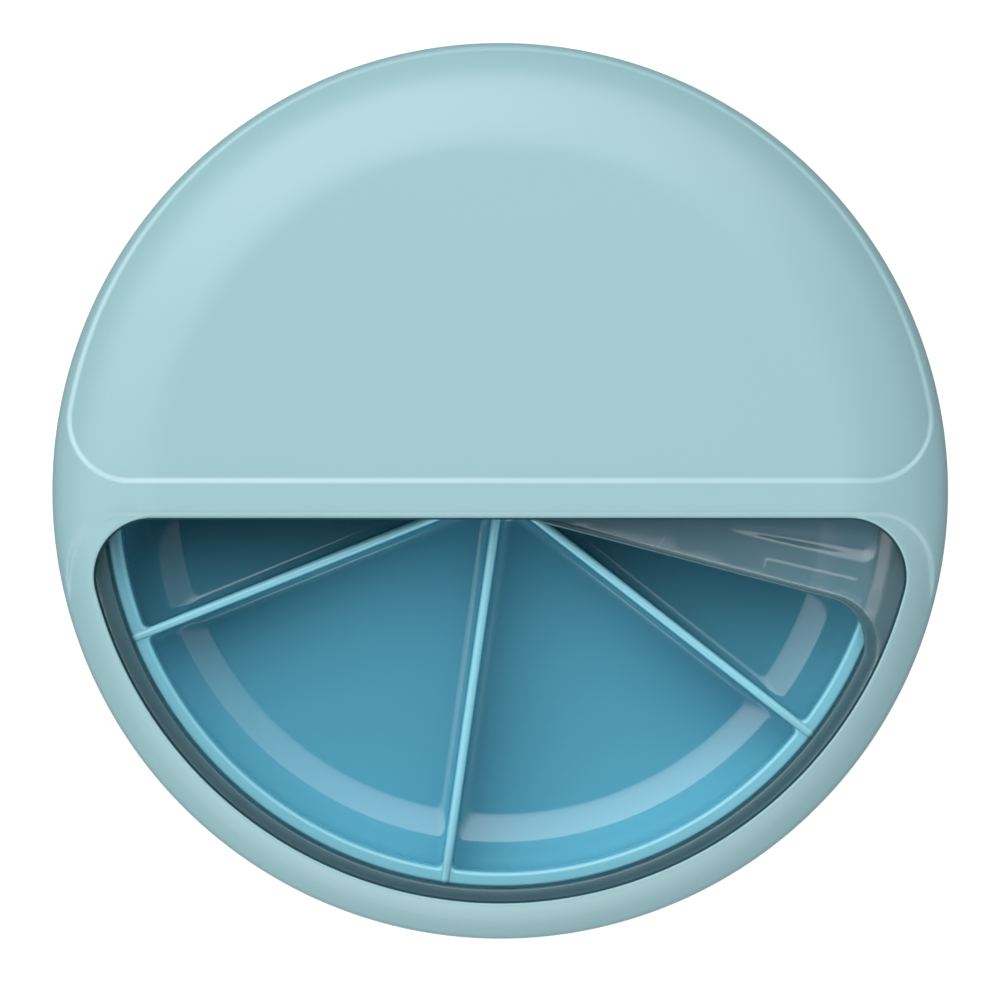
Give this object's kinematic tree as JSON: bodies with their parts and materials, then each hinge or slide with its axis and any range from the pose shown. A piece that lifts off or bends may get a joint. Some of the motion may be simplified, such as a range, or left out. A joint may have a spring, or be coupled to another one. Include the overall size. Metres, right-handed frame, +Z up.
{
  "type": "rotary pill organiser",
  "caption": "Low round box whose compartmented tray shows through a half-round window in a domed turning cover, with a grip bar across it and a smoked shutter that turns to close the window.",
  "frame": {"origin": "centre of the footprint, on the plane of the feet", "axes": "+Z up along the axis the cover turns on; the window is towards -Y and the closed field of the cover towards +Y; the grip bar runs along X"},
  "size_m": [0.11, 0.11, 0.028],
  "materials": {
    "pale_teal": "satin moulded",
    "blue_tray": "glossy moulded",
    "smoked_clear": "polished smoked clear",
    "white_acetal": "machined",
    "grey_rubber": "matt",
    "stainless_steel": "turned",
    "spring_steel": "drawn",
    "brass": "turned"
  },
  "bodies": {
    "base": {"base_shell": "pale_teal", "tray": "blue_tray", "foot_pad_1": "grey_rubber", "foot_pad_2": "grey_rubber", "foot_pad_3": "grey_rubber", "foot_pad_4": "grey_rubber", "screw_cap": "pale_teal", "glide_ring": "white_acetal", "detent_spring_1": "spring_steel", "detent_spring_2": "spring_steel"},
    "cover": {"cover_shell": "pale_teal", "shutter_retainer": "pale_teal", "pivot_screw": "stainless_steel", "pivot_sleeve": "stainless_steel", "threaded_insert": "brass", "head_washer": "stainless_steel", "wave_washer": "spring_steel", "shutter_washer": "white_acetal"},
    "shutter": {"shutter": "smoked_clear"},
    "detent_1": {"detent_plunger_1": "white_acetal"},
    "detent_2": {"detent_plunger_2": "white_acetal"}
  },
  "joints": [
    {"name": "cover_turn", "type": "hinge", "parent": "base", "child": "cover", "pos_m": [0, 0, 0.0136], "axis": [0, 0, 1], "continuous": true},
    {"name": "shutter_turn", "type": "hinge", "parent": "cover", "child": "shutter", "pos_m": [0, 0, 0.0204], "axis": [0, 0, 1], "range_deg": [-165.3, 0]},
    {"name": "detent_1_press", "type": "slide", "parent": "base", "child": "detent_1", "axis": [0, 0, -1], "range_m": [0, 0.0008], "stiffness_N_per_m": 20, "springref_m": -0.0001, "deforming": ["detent_spring_1"]},
    {"name": "detent_2_press", "type": "slide", "parent": "base", "child": "detent_2", "axis": [0, 0, -1], "range_m": [0, 0.0008], "stiffness_N_per_m": 20, "springref_m": -0.0001, "deforming": ["detent_spring_2"]}
  ],
  "couplings": [
    {"joint": "detent_2_press", "follows": "detent_1_press", "ratio": 1}
  ]
}
